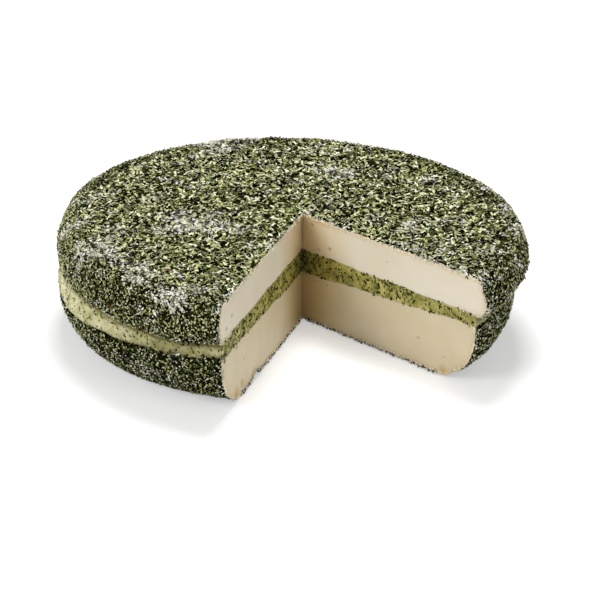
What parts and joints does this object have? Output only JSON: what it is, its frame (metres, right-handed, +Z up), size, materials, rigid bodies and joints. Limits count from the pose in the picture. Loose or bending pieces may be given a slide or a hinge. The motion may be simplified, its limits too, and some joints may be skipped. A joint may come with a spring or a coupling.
{
  "type": "herb-coated goat brie wheel",
  "caption": "Round soft goat cheese coated in chopped herbs, split level with a layer of herb cream, with one wedge cut out.",
  "frame": {"origin": "middle of the wheel's underside", "axes": "+Z up, through the wheel; one cut face is parallel to YZ and the missing wedge opens to +X and -Y"},
  "size_m": [0.2018, 0.1947, 0.0495],
  "materials": {
    "cheese": "soft cream-white paste, satin",
    "herb_cream": "yellow-green cream with chopped herbs, satin",
    "herb_coat": "white bloomy rind under dried chopped green herbs, matte"
  },
  "bodies": {
    "root": {"lower_cheese": "cheese", "herb_filling": "herb_cream", "upper_cheese": "cheese"}
  },
  "joints": []
}
